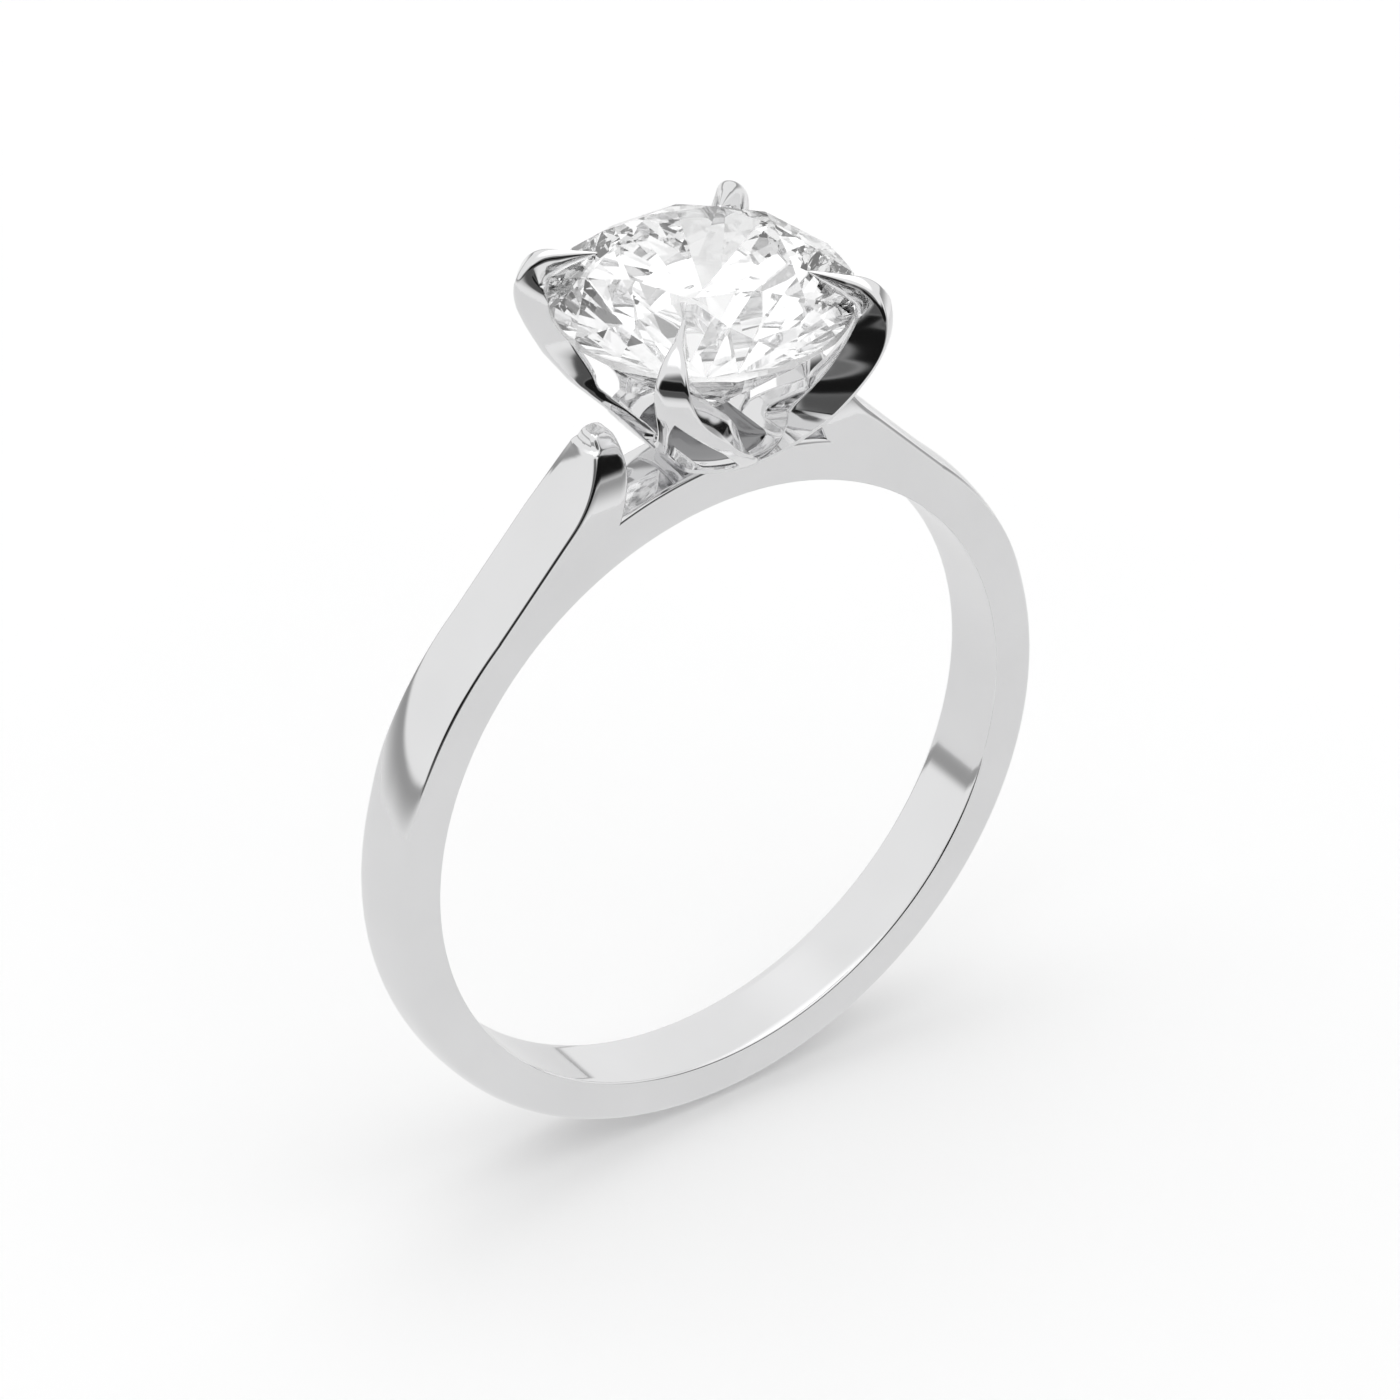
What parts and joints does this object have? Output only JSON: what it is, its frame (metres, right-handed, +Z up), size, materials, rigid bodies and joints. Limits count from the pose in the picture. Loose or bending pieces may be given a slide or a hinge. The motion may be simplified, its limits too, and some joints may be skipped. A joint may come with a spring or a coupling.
{
  "type": "solitaire engagement ring",
  "caption": "Round brilliant stone in a claw-set tulip head on a plain polished shank with raised cathedral shoulders.",
  "frame": {"origin": "centre of the finger hole, midway across the shank's width", "axes": "+Z points up through the middle of the stone, Y is the finger's axis, X runs across the ring from shoulder to shoulder; -Y is called the front"},
  "size_m": [0.02, 0.0076, 0.0254],
  "materials": {
    "polished_platinum": "mirror-polished white precious metal",
    "diamond": "colourless faceted brilliant, refractive index 2.42"
  },
  "bodies": {
    "root": {"shank": "polished_platinum", "left_shoulder": "polished_platinum", "right_shoulder": "polished_platinum", "head_base": "polished_platinum", "front_left_claw": "polished_platinum", "front_right_claw": "polished_platinum", "back_left_claw": "polished_platinum", "back_right_claw": "polished_platinum", "diamond": "diamond"}
  },
  "joints": []
}
